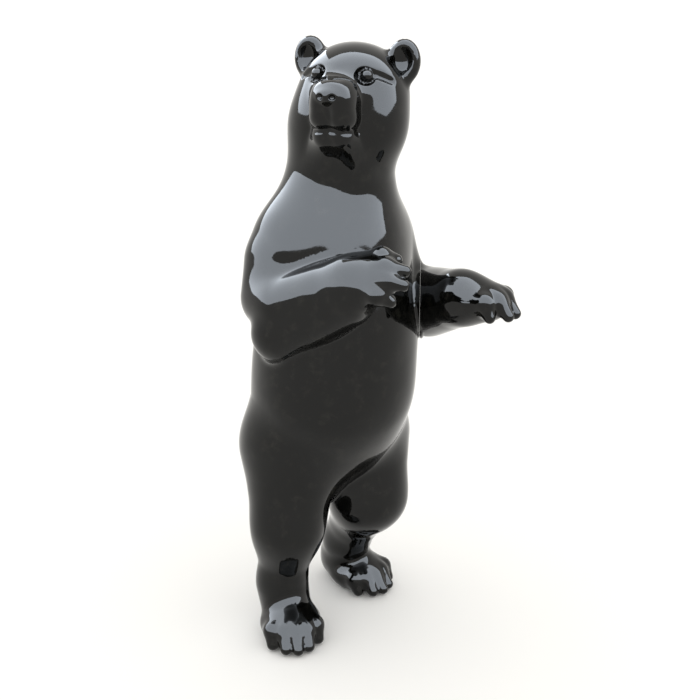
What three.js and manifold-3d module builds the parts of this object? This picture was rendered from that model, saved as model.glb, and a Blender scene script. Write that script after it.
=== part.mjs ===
// A life-size bear standing on its hind legs, a smooth hollow casting with a glossy black coat.
// The left forearm is a casting of its own, with a round collar where it meets the elbow.
// Millimetres, +Z up. The hind feet point along -Y, the bear's left side is +X, and the origin
// lies on the ground under the middle of the bounding box.
//
// The figure is drawn as rounded masses that flow into each other. Its surface is found on a
// grid and thinned to larger triangles where it is smooth. Then the joint and the soles are cut.

import * as THREE from "three";
import Module from "manifold-3d";

const wasm = await Module();
wasm.setup();

// Driving dimensions. Pose, proportions and carving are shares of the statue's height.
const statueHeight = 1800;
const collarRadius = 108;
const collarWidth = 12;
const collarBevel = 3;
const collarSides = 40;
const jointGap = 0.3;

// The figure is drawn at this height, and every drawn length is brought to the statue's height.
const drawnHeight = 1816;
const share = statueHeight / drawnHeight;
const drawnMiddle = [26, -31];

// Surface finding: grid cell, and the triangles that are kept.
const cellSize = 12;
const coarseStep = 4;
const keptTriangles = 8600;
const detailWeight = 14;

// Small vector helpers on plain arrays
const plus = (a, b) => a.map((v, i) => v + b[i]);
const minus = (a, b) => a.map((v, i) => v - b[i]);
const times = (a, s) => a.map((v) => v * s);
const dot = (a, b) => a[0] * b[0] + a[1] * b[1] + a[2] * b[2];
const cross = ([ax, ay, az], [bx, by, bz]) => [ay * bz - az * by, az * bx - ax * bz, ax * by - ay * bx];
const unit = (a) => times(a, 1 / Math.hypot(...a));
const radians = (degrees) => (degrees * Math.PI) / 180;

// A local frame: x to the figure's left of the way that it faces, -y ahead, z up
function frameAlong(origin, ahead, up) {
  const y = times(unit(ahead), -1);
  const x = unit(cross(y, up));
  const z = cross(x, y);
  return { origin, x, y, z };
}

function inFrame(frame, field) {
  const [ox, oy, oz] = frame.origin;
  const [[xx, xy, xz], [yx, yy, yz], [zx, zy, zz]] = [frame.x, frame.y, frame.z];
  return (px, py, pz) => {
    const a = px - ox;
    const b = py - oy;
    const c = pz - oz;
    return field(a * xx + b * xy + c * xz, a * yx + b * yy + c * yz, a * zx + b * zy + c * zz);
  };
}

const outOfFrame = (frame, p) =>
  plus(frame.origin, plus(times(frame.x, p[0]), plus(times(frame.y, p[1]), times(frame.z, p[2]))));

// Distance fields of the masses: each takes a place and gives the distance to its skin
function ball(centre, radii) {
  const [cx, cy, cz] = centre;
  const [rx, ry, rz] = radii;
  return (x, y, z) => {
    const u = (x - cx) / rx;
    const v = (y - cy) / ry;
    const w = (z - cz) / rz;
    const inner = Math.sqrt(u * u + v * v + w * w);
    const slope = Math.sqrt((u * u) / (rx * rx) + (v * v) / (ry * ry) + (w * w) / (rz * rz));
    return slope < 1e-9 ? -Math.min(rx, ry, rz) : (inner * (inner - 1)) / slope;
  };
}

function limb(start, end, startRadius, endRadius) {
  const [ax, ay, az] = start;
  const [dx, dy, dz] = minus(end, start);
  const length2 = dx * dx + dy * dy + dz * dz;
  const fall = startRadius - endRadius;
  const side2 = length2 - fall * fall;
  return (x, y, z) => {
    const px = x - ax;
    const py = y - ay;
    const pz = z - az;
    const along = px * dx + py * dy + pz * dz;
    const beyond = along - length2;
    const qx = px * length2 - dx * along;
    const qy = py * length2 - dy * along;
    const qz = pz * length2 - dz * along;
    const across2 = qx * qx + qy * qy + qz * qz;
    const along2 = along * along * length2;
    const beyond2 = beyond * beyond * length2;
    const edge = Math.sign(fall) * fall * fall * across2;
    const pastEnd = Math.sign(beyond) * side2 * beyond2 > edge;
    const beforeStart = Math.sign(along) * side2 * along2 < edge;
    if (pastEnd) return Math.sqrt(across2 + beyond2) / length2 - endRadius;
    if (beforeStart) return Math.sqrt(across2 + along2) / length2 - startRadius;
    return (Math.sqrt((across2 * side2) / length2) + along * fall) / length2 - startRadius;
  };
}

// Joining and carving with a rounded inner corner of the given width
function blend(a, b, width) {
  const h = Math.max(width - Math.abs(a - b), 0);
  return Math.min(a, b) - (h * h) / (4 * width);
}

function merged(forms) {
  return (x, y, z) => {
    let d = Infinity;
    for (const [field, width] of forms) d = blend(d, field(x, y, z), width);
    return d;
  };
}

// Far from a group of masses its distance is taken from a sphere around it, to save work
function within(centre, reach, field) {
  const [cx, cy, cz] = centre;
  const margin = 100;
  return (x, y, z) => {
    const a = x - cx;
    const b = y - cy;
    const c = z - cz;
    const d = Math.sqrt(a * a + b * b + c * c) - reach;
    return d > margin ? d : field(x, y, z);
  };
}

const carved = (field, hollow, width) => (x, y, z) => -blend(-field(x, y, z), hollow(x, y, z), width);

const bothSides = (form) => [form(1), form(-1)];

// Trunk: pelvis, belly, ribs, chest, shoulders and neck
const trunk = merged([
  [ball([-38, 104, 610], [248, 184, 164]), 60],
  [ball([-36, 36, 766], [246, 222, 208]), 100],
  [ball([-6, 42, 985], [238, 216, 250]), 120],
  [ball([-24, 118, 860], [200, 156, 320]), 110],
  [ball([-18, 74, 1190], [208, 178, 175]), 120],
  [ball([-160, 96, 1206], [103, 101, 132]), 90],
  [ball([151, 111, 1211], [111, 104, 141]), 90],
  [limb([-3, 78, 1294], [16, 72, 1540], 172, 152), 110],
]);

// Hind legs: thigh, knee, shin and heel
const hipRadius = 162;
const ankleRadius = 72;
const heelRadius = 62;

function hindLeg({ hip, knee, ankle, heel, kneeRadius }) {
  const middle = times(plus(knee, ankle), 0.5);
  return within(middle, 420, merged([
    [limb(hip, knee, hipRadius, kneeRadius), 40],
    [limb(knee, ankle, kneeRadius * 0.9, ankleRadius), 60],
    [limb(ankle, heel, ankleRadius, heelRadius), 50],
  ]));
}

// A paw points along -y of its frame, with its back up: a pad and toes in an arc
function paw({ length, width, thickness, instep, toeRadius, toeCount, toeReach, droop, cleft }) {
  const toes = Array.from({ length: toeCount }, (_, i) => {
    const side = (2 * i) / (toeCount - 1) - 1;
    const root = [side * width * 0.24, -length * 0.4, thickness * 0.1];
    const knuckle = [side * width * 0.36, -length * (0.72 - 0.12 * side * side), thickness * 0.1];
    const tip = [side * width * 0.37, -length * (toeReach - 0.22 * side * side), -droop];
    return merged([
      [limb(root, knuckle, toeRadius * 1.1, toeRadius), 1],
      [limb(knuckle, tip, toeRadius, toeRadius * 0.76), 12],
    ]);
  });
  return within([0, -length * 0.5, 0], length * 0.75, merged([
    ...toes.map((toe) => [toe, cleft]),
    [ball([0, -length * 0.34, 0], [width * 0.5, length * 0.5, thickness * 0.5]), 22],
    [limb([0, 0, instep], [0, -length * 0.5, 0], thickness * 0.56, thickness * 0.42), 30],
  ]));
}

const footHeight = 46;
const footSize = {
  length: 218,
  width: 194,
  thickness: 124,
  instep: 44,
  toeRadius: 23,
  toeCount: 5,
  toeReach: 0.92,
  droop: 24,
  cleft: 8,
};
const rightFoot = frameAlong([-202, 56, footHeight], [-0.26, -1, 0], [0, 0, 1]);
const leftFoot = frameAlong([104, 248, footHeight], [0.26, -0.96, 0], [0, 0, 1]);

// Forelegs: upper arm, elbow, forearm and wrist. A deep forearm has a second limb below the first.
function foreleg({ shoulder, upperEnd, elbow, wrist, depth, radii }) {
  const [shoulderRadius, upperRadius, elbowRadius, wristRadius] = radii;
  const lowElbow = minus(elbow, depth);
  const lowWrist = minus(wrist, times(depth, 0.5));
  return within(elbow, 340, merged([
    [limb(shoulder, upperEnd, shoulderRadius, upperRadius), 1],
    [limb(elbow, wrist, elbowRadius, wristRadius), 40],
    [limb(lowElbow, lowWrist, elbowRadius, wristRadius), 20],
  ]));
}

const rightWrist = [-98, -180, 1156];
const leftWrist = [250, -214, 1086];
const handSize = {
  length: 186,
  width: 172,
  thickness: 112,
  instep: 0,
  toeRadius: 22,
  toeCount: 4,
  toeReach: 0.92,
  droop: 30,
  cleft: 6,
};
const rightHand = frameAlong(rightWrist, [0.42, -0.86, 0.3], [-0.8, -0.12, 0.5]);
const leftHand = frameAlong(leftWrist, [0.44, -0.9, 0.02], [0, 0, 1]);

// Head, drawn in a frame of its own with the skull's middle at the origin
const skullCentre = [18, 20, 1656];
const headTurn = radians(46);
const headTilt = radians(-2.2);
const headAhead = [-Math.sin(headTurn), -Math.cos(headTurn), -0.02];
const headUp = [-Math.sin(headTilt) * Math.cos(headTurn), Math.sin(headTilt) * Math.sin(headTurn), 1];
const headFrame = frameAlong(skullCentre, headAhead, headUp);

const jaw = (side) => limb([side * 18, -150, -102], [side * 30, -58, -160], 42, 56);
const faceForms = merged([
  [ball([0, 22, 12], [156, 160, 132]), 40],
  ...bothSides((side) => [ball([side * 61, -8, -82], [102, 116, 104]), 60]),
  ...bothSides((side) => [limb([side * 28, -60, 10], [side * 14, -184, 8], 60, 36), 24]),
  ...bothSides((side) => [ball([side * 27, -158, -18], [40, 60, 60]), 16]),
  ...bothSides((side) => [ball([side * 26, -152, -56], [42, 58, 36]), 16]),
  ...bothSides((side) => [jaw(side), 10]),
]);
const carvedBothSides = (field, hollow, width) =>
  bothSides(hollow).reduce((kept, side) => carved(kept, side, width), field);

const lipLine = (side) => limb([0, -232, -88], [side * 66, -166, -92], 8, 5);
const eyeSocket = (side) => ball([side * 74, -114, 60], [32, 32, 27]);
const eyeCorner = (side) => limb([side * 93, -98, 67], [side * 129, -57, 45], 14, 8);
const faceCarved = carvedBothSides(
  carvedBothSides(carvedBothSides(faceForms, lipLine, 5), eyeSocket, 6),
  eyeCorner,
  8,
);

const faceAdded = merged([
  [faceCarved, 1],
  [ball([0, -204, 6], [38, 32, 24]), 8],
  ...bothSides((side) => [ball([side * 72, -99, 58], [16, 16, 15]), 2]),
  ...bothSides((side) => [ball([side * 139, 30, 94], [48, 32, 62]), 24]),
]);
const nostril = (side) => ball([side * 18, -236, 4], [10, 15, 9]);
const earHollow = (side) => ball([side * 142, 0, 100], [30, 26, 38]);
const face = within(
  [0, -20, 0],
  270,
  carvedBothSides(carvedBothSides(faceAdded, nostril, 5), earHollow, 8),
);

const rightLeg = hindLeg({
  hip: [-149, 98, 590],
  knee: [-202, 36, 352],
  ankle: [-214, 64, 150],
  heel: [-206, 92, 60],
  kneeRadius: 108,
});
const leftLeg = hindLeg({
  hip: [100, 118, 590],
  knee: [92, 50, 396],
  ankle: [94, 202, 165],
  heel: [98, 266, 60],
  kneeRadius: 122,
});
const rightArm = foreleg({
  shoulder: [-190, 98, 1180],
  upperEnd: [-212, 70, 1080],
  elbow: [-214, -6, 1072],
  wrist: rightWrist,
  depth: [9, -4, 82],
  radii: [98, 102, 92, 80],
});
const leftArm = foreleg({
  shoulder: [160, 105, 1225],
  upperEnd: [200, 68, 1128],
  elbow: [266, -20, 1031],
  wrist: leftWrist,
  depth: [0, 0, 0],
  radii: [94, 80, 104, 78],
});

const figure = merged([
  [trunk, 1],
  [rightLeg, 70],
  [leftLeg, 40],
  [inFrame(rightFoot, paw(footSize)), 36],
  [inFrame(leftFoot, paw(footSize)), 36],
  [rightArm, 22],
  [leftArm, 22],
  [inFrame(rightHand, paw(handSize)), 40],
  [inFrame(leftHand, paw(handSize)), 40],
  [inFrame(headFrame, face), 70],
]);

// Places whose carving needs small triangles: centre and reach
const detailPlaces = [
  [outOfFrame(headFrame, [0, -60, 10]), 210],
  [outOfFrame(rightHand, [0, -110, 0]), 120],
  [outOfFrame(leftHand, [0, -110, 0]), 120],
  [outOfFrame(rightFoot, [0, -120, 0]), 130],
  [outOfFrame(leftFoot, [0, -120, 0]), 130],
];

// Each grid cube is split into tetrahedra around its diagonal, one for each way from its first
// corner to its last along three edges, which always gives a closed skin
const cubeCorners = Array.from({ length: 8 }, (_, n) => [n & 1, (n >> 1) & 1, (n >> 2) & 1]);
const cubeWays = [[1, 2], [2, 4], [4, 1], [2, 1], [4, 2], [1, 4]];
const cubeTetrahedra = cubeWays.map(([first, second]) => [0, first, first + second, 7]);

function sampleField(field, low, high, cell) {
  const size = low.map((v, i) => Math.ceil((high[i] - v) / (cell * coarseStep)) * coarseStep + 1);
  const at = (i, j, k) => i + size[0] * (j + size[1] * k);
  const values = new Float32Array(size[0] * size[1] * size[2]);
  const reach = cell * coarseStep * 1.6;
  for (let k = 0; k < size[2] - 1; k += coarseStep) {
    for (let j = 0; j < size[1] - 1; j += coarseStep) {
      for (let i = 0; i < size[0] - 1; i += coarseStep) {
        const middle = [i, j, k].map((n, axis) => low[axis] + (n + coarseStep / 2) * cell);
        const d = field(...middle);
        const near = Math.abs(d) < reach;
        for (let c = 0; c <= coarseStep; c++) {
          for (let b = 0; b <= coarseStep; b++) {
            for (let a = 0; a <= coarseStep; a++) {
              const index = at(i + a, j + b, k + c);
              if (near) {
                values[index] = field(...[i + a, j + b, k + c].map((n, axis) => low[axis] + n * cell));
              } else if (values[index] === 0) {
                values[index] = d;
              }
            }
          }
        }
      }
    }
  }
  return { values, size, at, low, cell };
}

function gridSkin({ values, size, at, low, cell }) {
  const positions = [];
  const faces = [];
  const made = new Map();
  const cornerPlace = (index) => {
    const i = index % size[0];
    const j = Math.floor(index / size[0]) % size[1];
    const k = Math.floor(index / (size[0] * size[1]));
    return [low[0] + i * cell, low[1] + j * cell, low[2] + k * cell];
  };
  // The crossing keeps clear of the edge's ends, so that no triangle shrinks to nothing
  const crossing = (p, q) => {
    const key = p < q ? p * values.length + q : q * values.length + p;
    if (!made.has(key)) {
      const t = Math.min(Math.max(values[p] / (values[p] - values[q]), 0.08), 0.92);
      const a = cornerPlace(p);
      const b = cornerPlace(q);
      made.set(key, positions.length);
      positions.push(a.map((v, axis) => v + (b[axis] - v) * t));
    }
    return made.get(key);
  };
  const addFace = (a, b, c, inside) => {
    const [pa, pb, pc] = [positions[a], positions[b], positions[c]];
    const normal = cross(minus(pb, pa), minus(pc, pa));
    faces.push(dot(normal, minus(pa, inside)) > 0 ? [a, b, c] : [a, c, b]);
  };
  for (let k = 0; k < size[2] - 1; k++) {
    for (let j = 0; j < size[1] - 1; j++) {
      for (let i = 0; i < size[0] - 1; i++) {
        const corners = cubeCorners.map(([a, b, c]) => at(i + a, j + b, k + c));
        const signs = corners.map((index) => values[index] < 0);
        if (signs.every((s) => s === signs[0])) continue;
        for (const tetrahedron of cubeTetrahedra) {
          const solid = tetrahedron.map((n) => corners[n]).filter((index) => values[index] < 0);
          const empty = tetrahedron.map((n) => corners[n]).filter((index) => values[index] >= 0);
          if (solid.length === 0 || empty.length === 0) continue;
          const inside = cornerPlace(solid[0]);
          if (solid.length === 1) {
            const [a, b, c] = empty.map((e) => crossing(solid[0], e));
            addFace(a, b, c, inside);
          } else if (empty.length === 1) {
            const [a, b, c] = solid.map((s) => crossing(s, empty[0]));
            addFace(a, b, c, inside);
          } else {
            const [a, b] = empty.map((e) => crossing(solid[0], e));
            const [c, d] = empty.map((e) => crossing(solid[1], e));
            addFace(a, b, d, inside);
            addFace(a, d, c, inside);
          }
        }
      }
    }
  }
  return { positions, faces };
}

// Thinning: the edge whose loss changes the skin least goes first, with the error of each vertex
// kept as the sum of its planes' squares (ten numbers: xx xy xz xw yy yz yw zz zw ww)
function planeSquares(a, b, c, weight) {
  const normal = cross(minus(b, a), minus(c, a));
  const area = Math.hypot(...normal);
  const [x, y, z] = times(normal, 1 / Math.max(area, 1e-12));
  const w = -dot([x, y, z], a);
  return [x * x, x * y, x * z, x * w, y * y, y * z, y * w, z * z, z * w, w * w].map((v) => v * area * weight);
}

function squaresAt(q, [x, y, z]) {
  return (
    q[0] * x * x + 2 * q[1] * x * y + 2 * q[2] * x * z + 2 * q[3] * x + q[4] * y * y +
    2 * q[5] * y * z + 2 * q[6] * y + q[7] * z * z + 2 * q[8] * z + q[9]
  );
}

function leastErrorPlace([xx, xy, xz, xw, yy, yz, yw, zz, zw], fallback) {
  const columns = [[xx, xy, xz], [xy, yy, yz], [xz, yz, zz]];
  const determinantOf = ([a, b, c]) => dot(a, cross(b, c));
  const determinant = determinantOf(columns);
  const scale = xx + yy + zz;
  if (Math.abs(determinant) < 1e-4 * scale * scale * scale) return fallback;
  const sum = [-xw, -yw, -zw];
  return columns.map((_, n) => determinantOf(columns.map((c, m) => (m === n ? sum : c))) / determinant);
}

// A binary heap of candidate edges, cheapest first
class EdgeQueue {
  constructor() {
    this.items = [];
  }

  push(item) {
    const { items } = this;
    let n = items.push(item) - 1;
    while (n > 0) {
      const parent = (n - 1) >> 1;
      if (items[parent].cost <= item.cost) break;
      items[n] = items[parent];
      n = parent;
    }
    items[n] = item;
  }

  pop() {
    const { items } = this;
    const top = items[0];
    const last = items.pop();
    if (items.length > 0) {
      let n = 0;
      for (;;) {
        let child = 2 * n + 1;
        if (child >= items.length) break;
        if (child + 1 < items.length && items[child + 1].cost < items[child].cost) child++;
        if (items[child].cost >= last.cost) break;
        items[n] = items[child];
        n = child;
      }
      items[n] = last;
    }
    return top;
  }
}

function thinned({ positions, faces }, target, weightAt) {
  const squares = positions.map(() => new Array(10).fill(0));
  const around = positions.map(() => new Set());
  const age = new Uint32Array(positions.length);
  const alive = faces.map(() => true);
  faces.forEach((face, n) => {
    const [a, b, c] = face.map((v) => positions[v]);
    const q = planeSquares(a, b, c, weightAt(a));
    for (const v of face) {
      around[v].add(n);
      q.forEach((value, i) => (squares[v][i] += value));
    }
  });
  const neighbours = (v) => {
    const found = new Set();
    for (const n of around[v]) for (const w of faces[n]) if (w !== v) found.add(w);
    return found;
  };
  const queue = new EdgeQueue();
  const offer = (a, b) => {
    const q = squares[a].map((value, i) => value + squares[b][i]);
    const middle = times(plus(positions[a], positions[b]), 0.5);
    const edge = minus(positions[a], positions[b]);
    const edge2 = dot(edge, edge);
    let place = leastErrorPlace(q, middle);
    const drift = minus(place, middle);
    if (dot(drift, drift) > edge2) place = middle;
    const cost = squaresAt(q, place) + 1e-3 * edge2 * weightAt(middle);
    queue.push({ cost, a, b, place, ageA: age[a], ageB: age[b] });
  };
  const flips = (v, other, place) => {
    for (const n of around[v]) {
      const face = faces[n];
      if (face.includes(other)) continue;
      const old = face.map((w) => positions[w]);
      const moved = face.map((w) => (w === v ? place : positions[w]));
      const before = cross(minus(old[1], old[0]), minus(old[2], old[0]));
      const after = cross(minus(moved[1], moved[0]), minus(moved[2], moved[0]));
      const sizes = Math.hypot(...before) * Math.hypot(...after);
      if (dot(before, after) < 0.25 * sizes || Math.hypot(...after) < 1e-3) return true;
    }
    return false;
  };
  positions.forEach((_, v) => {
    for (const w of neighbours(v)) if (v < w) offer(v, w);
  });
  let left = faces.length;
  while (left > target && queue.items.length > 0) {
    const { a, b, place, ageA, ageB } = queue.pop();
    if (age[a] !== ageA || age[b] !== ageB) continue;
    const nearA = neighbours(a);
    const shared = [...neighbours(b)].filter((v) => nearA.has(v));
    if (shared.length !== 2 || flips(a, b, place) || flips(b, a, place)) continue;
    for (const n of [...around[b]]) {
      const face = faces[n];
      if (face.includes(a)) {
        alive[n] = false;
        left--;
        face.forEach((v) => around[v].delete(n));
      } else {
        face[face.indexOf(b)] = a;
        around[b].delete(n);
        around[a].add(n);
      }
    }
    positions[a] = place;
    squares[a] = squares[a].map((value, i) => value + squares[b][i]);
    age[a]++;
    age[b]++;
    for (const v of neighbours(a)) offer(a, v);
  }
  return { positions, faces: faces.filter((_, n) => alive[n]) };
}

// From triangles to a solid that can be joined and cut
function solidOf(positions, faces) {
  const numbers = new Map();
  const vertProperties = [];
  const triVerts = [];
  for (const face of faces) {
    for (const v of face) {
      if (!numbers.has(v)) {
        numbers.set(v, numbers.size);
        vertProperties.push(...positions[v]);
      }
      triVerts.push(numbers.get(v));
    }
  }
  return new wasm.Manifold(
    new wasm.Mesh({
      numProp: 3,
      vertProperties: new Float32Array(vertProperties),
      triVerts: new Uint32Array(triVerts),
    }),
  );
}

function geometrySolid(geometry, matrix) {
  geometry.applyMatrix4(matrix);
  const place = geometry.attributes.position;
  const numbers = new Map();
  const positions = [];
  const corner = (n) => {
    const p = [place.getX(n), place.getY(n), place.getZ(n)];
    const key = p.map((v) => Math.round(v * 1e4)).join(" ");
    if (!numbers.has(key)) {
      numbers.set(key, positions.length);
      positions.push(p);
    }
    return numbers.get(key);
  };
  const faces = [];
  for (let n = 0; n < geometry.index.count; n += 3) {
    const face = [0, 1, 2].map((i) => corner(geometry.index.getX(n + i)));
    if (new Set(face).size === 3) faces.push(face);
  }
  return solidOf(positions, faces);
}

function geometryOf(solid) {
  const mesh = solid.getMesh();
  const geometry = new THREE.BufferGeometry();
  const places = new Float32Array(mesh.vertProperties);
  const triangles = new Uint32Array(mesh.triVerts);
  geometry.setAttribute("position", new THREE.BufferAttribute(places, 3));
  geometry.setIndex(new THREE.BufferAttribute(triangles, 1));
  return geometry;
}

// Where small triangles are wanted, the thinning counts errors for more
function detailAt(p) {
  const near = detailPlaces.some(([centre, reach]) => {
    const d = minus(p, centre);
    return dot(d, d) < reach * reach;
  });
  return near ? detailWeight : 1;
}

const drawLow = [-420, -480, -38];
const drawHigh = [480, 460, 1850];
const skin = gridSkin(sampleField(figure, drawLow, drawHigh, cellSize));
const thin = thinned(skin, keptTriangles, detailAt);
const wholeFigure = solidOf(thin.positions.map((p) => times(p, share)), thin.faces);

// The soles are cut flat where the ground is
function blockAt(size, centre) {
  const place = new THREE.Matrix4().makeTranslation(...centre);
  return geometrySolid(new THREE.BoxGeometry(...size), place);
}
const groundDepth = 100;
const ground = blockAt([4 * statueHeight, 4 * statueHeight, groundDepth], [0, 0, -groundDepth / 2]);
const standing = wholeFigure.subtract(ground);

// The left forearm is cut from the elbow by an upright plane that faces along jointAxis
const jointPlace = times([238, -12, 1027], share);
const jointAxis = unit([0.846, -0.532, 0]);
const jointFrame = frameAlong(jointPlace, times(jointAxis, -1), [0, 0, 1]);
const forearmBlock = [1000, 300].map((v) => v * share);
const forearmDrop = 116 * share;
const forearmRise = 210 * share;

function jointMatrix(offset, lift) {
  const { x, y, z } = jointFrame;
  const matrix = new THREE.Matrix4().makeBasis(
    new THREE.Vector3(...x),
    new THREE.Vector3(...y),
    new THREE.Vector3(...z),
  );
  return matrix.setPosition(...plus(jointPlace, plus(times(y, offset), times(z, lift))));
}

function forearmRegion(start) {
  const [across, along] = forearmBlock;
  const block = new THREE.BoxGeometry(across, along, forearmDrop + forearmRise);
  return geometrySolid(block, jointMatrix(start + along / 2, (forearmRise - forearmDrop) / 2));
}

function collar() {
  const outline = [
    [0, 0],
    [collarRadius - collarBevel, 0],
    [collarRadius, collarBevel],
    [collarRadius, collarWidth - collarBevel],
    [collarRadius - collarBevel, collarWidth],
    [0, collarWidth],
  ].map(([r, h]) => new THREE.Vector2(r, h));
  return geometrySolid(new THREE.LatheGeometry(outline, collarSides), jointMatrix(jointGap, 0));
}

const forearm = standing.intersect(forearmRegion(jointGap)).add(collar());
const body = standing.subtract(forearmRegion(0)).subtract(collar());

const blackCoat = () => new THREE.MeshStandardMaterial({ color: 0x0c0d0c, roughness: 0.12, metalness: 0 });

function namedMesh(name, solid) {
  const mesh = new THREE.Mesh(geometryOf(solid), blackCoat());
  mesh.name = name;
  return mesh;
}

// The middle of the bounding box, seen from above, comes to the origin
const bear = new THREE.Group();
bear.add(namedMesh("bear_body", body));
bear.add(namedMesh("left_forearm", forearm));
bear.children.forEach((mesh) => mesh.position.set(-drawnMiddle[0] * share, -drawnMiddle[1] * share, 0));

export default bear;
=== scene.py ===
"""A life-size bear standing on its hind legs, cast in glass-fibre resin and finished in glossy black."""

import math

import bmesh
import bpy
import numpy as np
from mathutils import Matrix, Vector


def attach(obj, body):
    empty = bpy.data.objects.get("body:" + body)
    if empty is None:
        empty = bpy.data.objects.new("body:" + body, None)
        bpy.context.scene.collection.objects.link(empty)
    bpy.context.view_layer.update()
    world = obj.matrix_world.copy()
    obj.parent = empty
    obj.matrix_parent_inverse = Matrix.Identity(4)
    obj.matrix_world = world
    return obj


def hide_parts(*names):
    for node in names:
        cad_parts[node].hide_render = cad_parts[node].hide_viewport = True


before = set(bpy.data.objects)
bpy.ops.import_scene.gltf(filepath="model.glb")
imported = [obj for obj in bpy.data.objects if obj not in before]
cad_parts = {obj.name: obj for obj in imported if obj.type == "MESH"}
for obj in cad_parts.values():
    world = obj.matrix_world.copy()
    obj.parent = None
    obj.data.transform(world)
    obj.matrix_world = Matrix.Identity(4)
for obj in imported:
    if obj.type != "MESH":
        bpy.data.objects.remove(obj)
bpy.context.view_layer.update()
scene = bpy.context.scene


# The camera stands ahead of the bear and to its right, at head height, and looks a little down
# so that the whole figure is in view.
camera_data = bpy.data.cameras.new("camera")
camera_data.lens = 50.4
camera_data.sensor_width = 36
camera = bpy.data.objects.new("camera", camera_data)
camera.location = (-1.352, -2.463, 1.735)
camera.rotation_euler = (math.radians(73.5), 0, math.radians(-28))
scene.collection.objects.link(camera)
scene.camera = camera


# The studio has a plain pale floor that runs out to an even pale background. Two soft panels hang
# overhead, which the glossy coat mirrors on all that faces up: a wide one above the bear and in
# front of it, and a wing beyond it on the left.
floor_reach = 30
floor_mesh = bmesh.new()
bmesh.ops.create_grid(floor_mesh, x_segments=1, y_segments=1, size=floor_reach)
floor_data = bpy.data.meshes.new("floor")
floor_mesh.to_mesh(floor_data)
floor_mesh.free()
floor = bpy.data.objects.new("floor", floor_data)
scene.collection.objects.link(floor)
floor_paint = bpy.data.materials.new("pale_floor")
floor_paint.use_nodes = True
floor_shader = floor_paint.node_tree.nodes["Principled BSDF"]
floor_shader.inputs["Base Color"].default_value = (0.985, 0.985, 0.98, 1)
floor_shader.inputs["Roughness"].default_value = 0.9
floor_shader.inputs["Specular IOR Level"].default_value = 0
floor_data.materials.append(floor_paint)

world = bpy.data.worlds.new("studio")
world.use_nodes = True
background = world.node_tree.nodes["Background"]
background.inputs["Color"].default_value = (1.0, 0.985, 0.95, 1)
background.inputs["Strength"].default_value = 1.15
scene.world = world
scene.view_settings.view_transform = "Standard"

# Both panels lie in one plane, which rises from the first depth and height to the second
panel_depths = (-20, 2)
panel_heights = (5.4, 6.6)
panel_strength = 9.0
sky_tint = (0.82, 0.9, 1.0)


# A panel's edges are given in the camera's own directions: to its right, and away from it
def soft_panel(name, left, right, near, far):
    slant = (panel_heights[1] - panel_heights[0]) / (panel_depths[1] - panel_depths[0])
    heading = Matrix.Rotation(camera.rotation_euler.z, 4, "Z")
    light = bpy.data.lights.new(name, "AREA")
    light.shape = "RECTANGLE"
    light.size = right - left
    light.size_y = (far - near) * math.hypot(1, slant)
    light.color = sky_tint
    light.energy = panel_strength * math.pi * light.size * light.size_y
    lamp = bpy.data.objects.new(name, light)
    depth = (near + far) / 2
    height = panel_heights[0] + slant * (depth - panel_depths[0])
    lamp.matrix_world = heading @ Matrix.Rotation(math.atan(slant), 4, "X")
    lamp.location = heading @ Vector(((left + right) / 2, depth, height))
    lamp.visible_camera = False
    lamp.visible_diffuse = False
    scene.collection.objects.link(lamp)


soft_panel("overhead_panel", left=-35, right=35, near=-20, far=2)
soft_panel("overhead_wing", left=-35, right=-3, near=2, far=12)


# The casting's form: smooth rounded masses that flow into each other, as the pattern maker
# modelled them. Each mass is given in millimetres on a bear drawn 1816 mm tall, and gives the
# distance from a place to its skin.
statue_height = 1800
drawn_height = 1816
share = statue_height / drawn_height
drawn_middle = np.array([26.0, -31.0, 0.0])
least_slope = 1e-9


def to_drawn(places):
    return places * 1000 / share + drawn_middle


def from_drawn(places):
    return (np.asarray(places, float) - drawn_middle) * share / 1000


def ball(centre, radii):
    centre = np.array(centre, float)
    radii = np.array(radii, float)

    def distance(places):
        q = (places - centre) / radii
        inner = np.linalg.norm(q, axis=1)
        slope = np.linalg.norm(q / radii, axis=1)
        return inner * (inner - 1) / np.maximum(slope, least_slope)

    return distance


def limb(start, end, start_radius, end_radius):
    start = np.array(start, float)
    run = np.array(end, float) - start
    length2 = run @ run
    fall = start_radius - end_radius
    side2 = length2 - fall * fall

    def distance(places):
        p = places - start
        along = p @ run
        beyond = along - length2
        across2 = ((p * length2 - along[:, None] * run) ** 2).sum(axis=1)
        along2 = along * along * length2
        beyond2 = beyond * beyond * length2
        edge = np.sign(fall) * fall * fall * across2
        at_end = np.sign(beyond) * side2 * beyond2 > edge
        at_start = np.sign(along) * side2 * along2 < edge
        side = (np.sqrt(across2 * side2 / length2) + along * fall) / length2 - start_radius
        side = np.where(at_start, np.sqrt(across2 + along2) / length2 - start_radius, side)
        return np.where(at_end, np.sqrt(across2 + beyond2) / length2 - end_radius, side)

    return distance


def blend(a, b, width):
    h = np.maximum(width - np.abs(a - b), 0)
    return np.minimum(a, b) - h * h / (4 * width)


def merged(forms):
    def distance(places):
        d = forms[0][0](places)
        for form, width in forms[1:]:
            d = blend(d, form(places), width)
        return d

    return distance


def carved(form, hollow, width):
    return lambda places: -blend(-form(places), hollow(places), width)


# Far from a group of masses its distance is taken from a sphere around it, to save work
def within(centre, reach, form):
    centre = np.array(centre, float)
    margin = 100

    def distance(places):
        d = np.linalg.norm(places - centre, axis=1) - reach
        near = d < margin
        if near.any():
            d[near] = form(places[near])
        return d

    return distance


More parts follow.
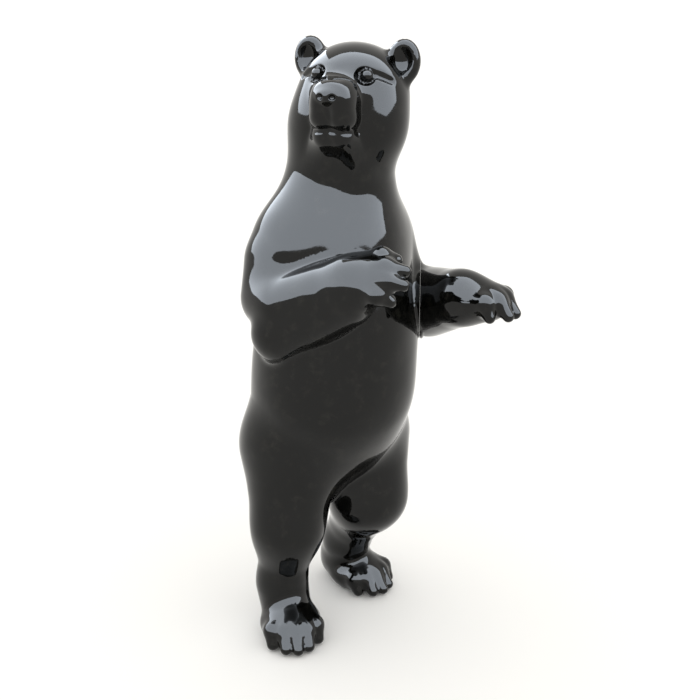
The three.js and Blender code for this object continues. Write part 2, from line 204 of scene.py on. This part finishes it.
# A local frame: x to the figure's left of the way that it faces, -y ahead, z up
class Frame:
    def __init__(self, origin, ahead, up):
        self.origin = np.array(origin, float)
        y = -np.array(ahead, float) / np.linalg.norm(ahead)
        x = np.cross(y, up)
        x /= np.linalg.norm(x)
        self.axes = np.array([x, y, np.cross(x, y)])

    def form(self, local):
        return lambda places: local((places - self.origin) @ self.axes.T)

    def place(self, local):
        return self.origin + np.array(local, float) @ self.axes


# Trunk: pelvis, belly, ribs, back, chest, shoulders and neck
trunk = merged([
    (ball([-38, 104, 610], [248, 184, 164]), 60),
    (ball([-36, 36, 766], [246, 222, 208]), 100),
    (ball([-6, 42, 985], [238, 216, 250]), 120),
    (ball([-24, 118, 860], [200, 156, 320]), 110),
    (ball([-18, 74, 1190], [208, 178, 175]), 120),
    (ball([-160, 96, 1206], [103, 101, 132]), 90),
    (ball([151, 111, 1211], [111, 104, 141]), 90),
    (limb([-3, 78, 1294], [16, 72, 1540], 172, 152), 110),
])

# Hind legs: thigh, knee, shin and heel. The left one stands a step behind the right.
hip_radius = 162
ankle_radius = 72
heel_top_radius = 70
heel_radius = 62


def hind_leg(hip, knee, ankle, heel, knee_radius):
    middle = (np.array(knee) + np.array(ankle)) / 2
    return within(middle, 420, merged([
        (limb(hip, knee, hip_radius, knee_radius), 40),
        (limb(knee, ankle, knee_radius * 0.9, ankle_radius), 60),
        (limb(ankle, heel, heel_top_radius, heel_radius), 50),
    ]))


right_leg = hind_leg(
    hip=[-149, 98, 590],
    knee=[-202, 36, 352],
    ankle=[-214, 64, 150],
    heel=[-206, 92, 60],
    knee_radius=108,
)
left_leg = hind_leg(
    hip=[100, 118, 590],
    knee=[92, 50, 396],
    ankle=[94, 202, 165],
    heel=[98, 266, 60],
    knee_radius=122,
)


# A paw points along -y of its frame, with its back up: a pad and toes in an arc. The places on it
# are shares of its length, width and thickness.
def paw(length, width, thickness, instep, toe_radius, toe_count, toe_reach, droop, cleft):
    toes = []
    for n in range(toe_count):
        side = 2 * n / (toe_count - 1) - 1
        root = [side * width * 0.24, -length * 0.4, thickness * 0.1]
        knuckle = [side * width * 0.36, -length * (0.72 - 0.12 * side * side), thickness * 0.1]
        tip = [side * width * 0.37, -length * (toe_reach - 0.22 * side * side), -droop]
        toe = merged([
            (limb(root, knuckle, toe_radius * 1.1, toe_radius), 1),
            (limb(knuckle, tip, toe_radius, toe_radius * 0.76), 12),
        ])
        toes.append((toe, cleft))
    pad = ball([0, -length * 0.34, 0], [width * 0.5, length * 0.5, thickness * 0.5])
    arch = limb([0, 0, instep], [0, -length * 0.5, 0], thickness * 0.56, thickness * 0.42)
    return within([0, -length * 0.5, 0], length * 0.75, merged([*toes, (pad, 22), (arch, 30)]))


foot_height = 46
foot = paw(
    length=218,
    width=194,
    thickness=124,
    instep=44,
    toe_radius=23,
    toe_count=5,
    toe_reach=0.92,
    droop=24,
    cleft=8,
)
right_foot = Frame([-202, 56, foot_height], [-0.26, -1, 0], [0, 0, 1])
left_foot = Frame([104, 248, foot_height], [0.26, -0.96, 0], [0, 0, 1])


# Forelegs: upper arm, elbow, forearm and wrist. The right forearm is deep and has a flat face,
# and the left one is round.
def foreleg(
    shoulder, upper_end, elbow, wrist, depth, shoulder_radius, upper_radius, elbow_radius, wrist_radius
):
    low_elbow = np.array(elbow) - depth
    low_wrist = np.array(wrist) - np.array(depth) * 0.5
    return within(elbow, 340, merged([
        (limb(shoulder, upper_end, shoulder_radius, upper_radius), 1),
        (limb(elbow, wrist, elbow_radius, wrist_radius), 40),
        (limb(low_elbow, low_wrist, elbow_radius, wrist_radius), 20),
    ]))


right_wrist = [-98, -180, 1156]
left_wrist = [250, -214, 1086]
right_arm = foreleg(
    shoulder=[-190, 98, 1180],
    upper_end=[-212, 70, 1080],
    elbow=[-214, -6, 1072],
    wrist=right_wrist,
    depth=[9, -4, 82],
    shoulder_radius=98,
    upper_radius=102,
    elbow_radius=92,
    wrist_radius=80,
)
left_arm = foreleg(
    shoulder=[160, 105, 1225],
    upper_end=[200, 68, 1128],
    elbow=[266, -20, 1031],
    wrist=left_wrist,
    depth=[0, 0, 0],
    shoulder_radius=94,
    upper_radius=80,
    elbow_radius=104,
    wrist_radius=78,
)
hand = paw(
    length=186,
    width=172,
    thickness=112,
    instep=0,
    toe_radius=22,
    toe_count=4,
    toe_reach=0.92,
    droop=30,
    cleft=6,
)
right_hand = Frame(right_wrist, [0.42, -0.86, 0.3], [-0.8, -0.12, 0.5])
left_hand = Frame(left_wrist, [0.44, -0.9, 0.02], [0, 0, 1])

# Head, drawn in a frame of its own with the skull's middle at the origin: skull, cheeks, bridge,
# muzzle, lips and jaw, then the carved mouth and eye sockets, then nose, eyes and ears, and last
# the carved nostrils and ear hollows
head_turn = math.radians(46)
head_tilt = math.radians(-2.2)
head_dip = -0.02
head_ahead = [-math.sin(head_turn), -math.cos(head_turn), head_dip]
head_up = [-math.sin(head_tilt) * math.cos(head_turn), math.sin(head_tilt) * math.sin(head_turn), 1]
head = Frame([18, 20, 1656], head_ahead, head_up)

face = merged([
    (ball([0, 22, 12], [156, 160, 132]), 40),
    *[(ball([side * 61, -8, -82], [102, 116, 104]), 60) for side in (1, -1)],
    *[(limb([side * 28, -60, 10], [side * 14, -184, 8], 60, 36), 24) for side in (1, -1)],
    *[(ball([side * 27, -158, -18], [40, 60, 60]), 16) for side in (1, -1)],
    *[(ball([side * 26, -152, -56], [42, 58, 36]), 16) for side in (1, -1)],
    *[(limb([side * 18, -150, -102], [side * 30, -58, -160], 42, 56), 10) for side in (1, -1)],
])
for side in (1, -1):
    face = carved(face, limb([0, -232, -88], [side * 66, -166, -92], 8, 5), 5)
for side in (1, -1):
    face = carved(face, ball([side * 74, -114, 60], [32, 32, 27]), 6)
    face = carved(face, limb([side * 93, -98, 67], [side * 129, -57, 45], 14, 8), 8)
face = merged([
    (face, 1),
    (ball([0, -204, 6], [38, 32, 24]), 8),
    *[(ball([side * 72, -99, 58], [16, 16, 15]), 2) for side in (1, -1)],
    *[(ball([side * 139, 30, 94], [48, 32, 62]), 24) for side in (1, -1)],
])
for side in (1, -1):
    face = carved(face, ball([side * 18, -236, 4], [10, 15, 9]), 5)
    face = carved(face, ball([side * 142, 0, 100], [30, 26, 38]), 8)
face = within([0, -20, 0], 270, face)

figure = merged([
    (trunk, 1),
    (right_leg, 70),
    (left_leg, 40),
    (right_foot.form(foot), 36),
    (left_foot.form(foot), 36),
    (right_arm, 22),
    (left_arm, 22),
    (right_hand.form(hand), 40),
    (left_hand.form(hand), 40),
    (head.form(face), 70),
])


# The skin of the whole figure: the model's own skins, remeshed evenly, with finer faces where
# the carving is small, and laid on the smooth form so that reflections run clean.
skin_cell = 0.0085
weld_distance = 1e-5
work = bmesh.new()
for name in ("bear_body", "left_forearm"):
    work.from_mesh(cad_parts[name].data)
bmesh.ops.remove_doubles(work, verts=work.verts, dist=weld_distance)
rough_data = bpy.data.meshes.new("rough_skin")
work.to_mesh(rough_data)
work.free()
rough = bpy.data.objects.new("rough_skin", rough_data)
scene.collection.objects.link(rough)
remesh = rough.modifiers.new("even", "REMESH")
remesh.mode = "VOXEL"
remesh.voxel_size = skin_cell
even_data = bpy.data.meshes.new_from_object(rough.evaluated_get(bpy.context.evaluated_depsgraph_get()))
bpy.data.objects.remove(rough)

# In drawn millimetres: how far apart the slope is measured, and the furthest move in one round
slope_step = 1.0
furthest_move = 12
least_slope_squared = 0.2


def laid_on(places, form, rounds):
    for _ in range(rounds):
        d = form(places)
        ahead = [form(places + np.eye(3)[axis] * slope_step) - d for axis in range(3)]
        slope = np.stack(ahead, axis=1) / slope_step
        size2 = np.maximum((slope * slope).sum(axis=1), least_slope_squared)
        reach = np.clip(d, -furthest_move, furthest_move) / size2
        places = places - slope * reach[:, None]
    return places


def lay_skin(work, rounds):
    places = to_drawn(np.array([v.co for v in work.verts]))
    for v, p in zip(work.verts, from_drawn(laid_on(places, figure, rounds))):
        v.co = p


detail_places = [
    (head.place([0, -90, 0]), 190),
    (right_hand.place([0, -110, 0]), 120),
    (left_hand.place([0, -110, 0]), 120),
    (right_foot.place([0, -130, 0]), 120),
    (left_foot.place([0, -130, 0]), 120),
]
finest_places = [
    (head.place([0, -200, -10]), 70),
    (head.place([68, -110, 60]), 50),
    (head.place([-68, -110, 60]), 50),
]


def refine(work, spots):
    near = set()
    for centre, reach in spots:
        middle = Vector(from_drawn(centre))
        limit = reach * share / 1000
        near.update(v for v in work.verts if (v.co - middle).length < limit)
    edges = [e for e in work.edges if e.verts[0] in near and e.verts[1] in near]
    bmesh.ops.subdivide_edges(work, edges=edges, cuts=1, use_grid_fill=True)


def even_out(work):
    bmesh.ops.smooth_vert(
        work, verts=work.verts, factor=0.5, use_axis_x=True, use_axis_y=True, use_axis_z=True
    )


skin = bmesh.new()
skin.from_mesh(even_data)
lay_skin(skin, 4)
even_out(skin)
refine(skin, detail_places)
even_out(skin)
lay_skin(skin, 2)
refine(skin, finest_places)
lay_skin(skin, 2)

cut_distance = 1e-6


# Cuts the skin by a plane, drops what lies ahead of it and closes the flat end
def cut_flat(work, place, normal):
    bmesh.ops.bisect_plane(
        work,
        geom=[*work.verts, *work.edges, *work.faces],
        dist=cut_distance,
        plane_co=place,
        plane_no=normal,
        clear_outer=True,
    )
    rim = [e for e in work.edges if e.is_boundary]
    made = bmesh.ops.holes_fill(work, edges=rim, sides=0)["faces"]
    flat = bmesh.ops.triangulate(work, faces=made)["faces"]
    for face in work.faces:
        face.smooth = True
    for face in flat:
        face.smooth = False
    for edge in rim:
        edge.smooth = False


cut_flat(skin, (0, 0, 0), (0, 0, -1))
whole_data = bpy.data.meshes.new("whole_skin")
skin.to_mesh(whole_data)
skin.free()


# The black coat: a thick glossy gel coat over resin. It is near black with a faint warm cast and
# less gloss where dust lies. It ripples as glass fibre does, with a fine orange peel on top.
class Shader:
    """A socket whose Python operators add Math nodes"""

    def __init__(self, tree, socket):
        self.tree, self.socket = tree, socket

    def node(self, kind, settings=None, output=0, **inputs):
        made = self.tree.nodes.new(kind)
        for key, value in (settings or {}).items():
            setattr(made, key, value)
        for key, value in inputs.items():
            target = made.inputs[int(key[1:])] if key[0] == "_" else made.inputs[key.replace("_", " ")]
            if isinstance(value, Shader):
                self.tree.links.new(value.socket, target)
            else:
                target.default_value = value
        return Shader(self.tree, made.outputs[output])

    def maths(self, operation, a, b):
        return self.node("ShaderNodeMath", {"operation": operation}, _0=a, _1=b)

    def __add__(self, other):
        return self.maths("ADD", self, other)

    def __radd__(self, other):
        return self.maths("ADD", other, self)

    def __mul__(self, other):
        return self.maths("MULTIPLY", self, other)

    def __rmul__(self, other):
        return self.maths("MULTIPLY", other, self)


clean_black = (0.0018, 0.0019, 0.0017, 1)
dusty_black = (0.012, 0.0115, 0.0095, 1)
clean_roughness = 0.05
dust_roughness = 0.06
ripple_height = 0.35
orange_peel_height = 0.002


def black_coat():
    paint = bpy.data.materials.new("black_gel_coat")
    paint.use_nodes = True
    tree = paint.node_tree
    gloss = tree.nodes["Principled BSDF"]
    gloss.inputs["IOR"].default_value = 1.5
    gloss.inputs["Specular IOR Level"].default_value = 0.27
    place = Shader(tree, tree.nodes.new("ShaderNodeTexCoord").outputs["Object"])

    def noise(scale, detail, roughness=0.5):
        return place.node(
            "ShaderNodeTexNoise", Vector=place, Scale=scale, Detail=detail, Roughness=roughness
        )

    ripple = noise(scale=7.0, detail=1.0)
    orange_peel = noise(scale=160.0, detail=2.0)
    cloud = noise(scale=26.0, detail=6.0, roughness=0.7)
    dust = place.node("ShaderNodeMapRange", Value=cloud, From_Min=0.52, From_Max=0.75)
    bump = place.node(
        "ShaderNodeBump",
        Strength=1.0,
        Distance=0.01,
        Height=ripple * ripple_height + orange_peel * orange_peel_height,
    )
    colour = place.node(
        "ShaderNodeMix", {"data_type": "RGBA"}, output=2, _0=dust, _6=clean_black, _7=dusty_black
    )
    roughness = clean_roughness + dust * dust_roughness
    tree.links.new(colour.socket, gloss.inputs["Base Color"])
    tree.links.new(roughness.socket, gloss.inputs["Roughness"])
    tree.links.new(bump.socket, gloss.inputs["Normal"])
    return paint


coat = black_coat()


# The body casting: all of the bear but its left forearm, in one hollow piece with flat soles.
# Its left elbow ends in a flat face, which the forearm's collar meets.
joint_place = Vector(from_drawn([238, -12, 1027]))
joint_axis = Vector((0.846, -0.532, 0)).normalized()


def casting(name, place, normal):
    work = bmesh.new()
    work.from_mesh(whole_data)
    cut_flat(work, place, normal)
    data = bpy.data.meshes.new(name)
    work.to_mesh(data)
    work.free()
    piece = bpy.data.objects.new(name, data)
    scene.collection.objects.link(piece)
    return piece


body = casting("bear_casting", joint_place, joint_axis)
body.data.materials.append(coat)
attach(body, "root")
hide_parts("bear_body")


# The left forearm: a casting of its own, which ends at the elbow in a flat face and a round
# collar that closes the joint.
joint_gap = 0.0003
collar_place = joint_place + joint_axis * joint_gap
collar_radius = 0.108
collar_width = 0.012
collar_bevel = 0.004
collar_steps = 96
arm = casting("forearm_casting", collar_place, -joint_axis)

collar_outline = [
    (0, 0),
    (collar_radius - collar_bevel, 0),
    (collar_radius, collar_bevel),
    (collar_radius, collar_width - collar_bevel),
    (collar_radius - collar_bevel, collar_width),
    (0, collar_width),
]
collar_mesh = bmesh.new()
ring = [collar_mesh.verts.new((r, 0, h)) for r, h in collar_outline]
edges = [collar_mesh.edges.new(pair) for pair in zip(ring, ring[1:])]
bmesh.ops.spin(
    collar_mesh,
    geom=ring + edges,
    cent=(0, 0, 0),
    axis=(0, 0, 1),
    angle=math.tau,
    steps=collar_steps,
    use_merge=True,
)
bmesh.ops.remove_doubles(collar_mesh, verts=collar_mesh.verts, dist=cut_distance)
bmesh.ops.recalc_face_normals(collar_mesh, faces=collar_mesh.faces)
turned = joint_axis.to_track_quat("Z", "Y").to_matrix().to_4x4()
bmesh.ops.transform(
    collar_mesh,
    matrix=Matrix.Translation(collar_place) @ turned,
    verts=collar_mesh.verts,
)
for face in collar_mesh.faces:
    face.smooth = True
collar_data = bpy.data.meshes.new("collar")
collar_mesh.to_mesh(collar_data)
collar_mesh.free()
collar = bpy.data.objects.new("collar", collar_data)
scene.collection.objects.link(collar)
union = arm.modifiers.new("collar", "BOOLEAN")
union.operation = "UNION"
union.solver = "EXACT"
union.object = collar
joined_data = bpy.data.meshes.new_from_object(arm.evaluated_get(bpy.context.evaluated_depsgraph_get()))
arm.modifiers.clear()
arm.data = joined_data
bpy.data.objects.remove(collar)
joined_data.materials.clear()
joined_data.materials.append(coat)
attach(arm, "root")
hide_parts("left_forearm")
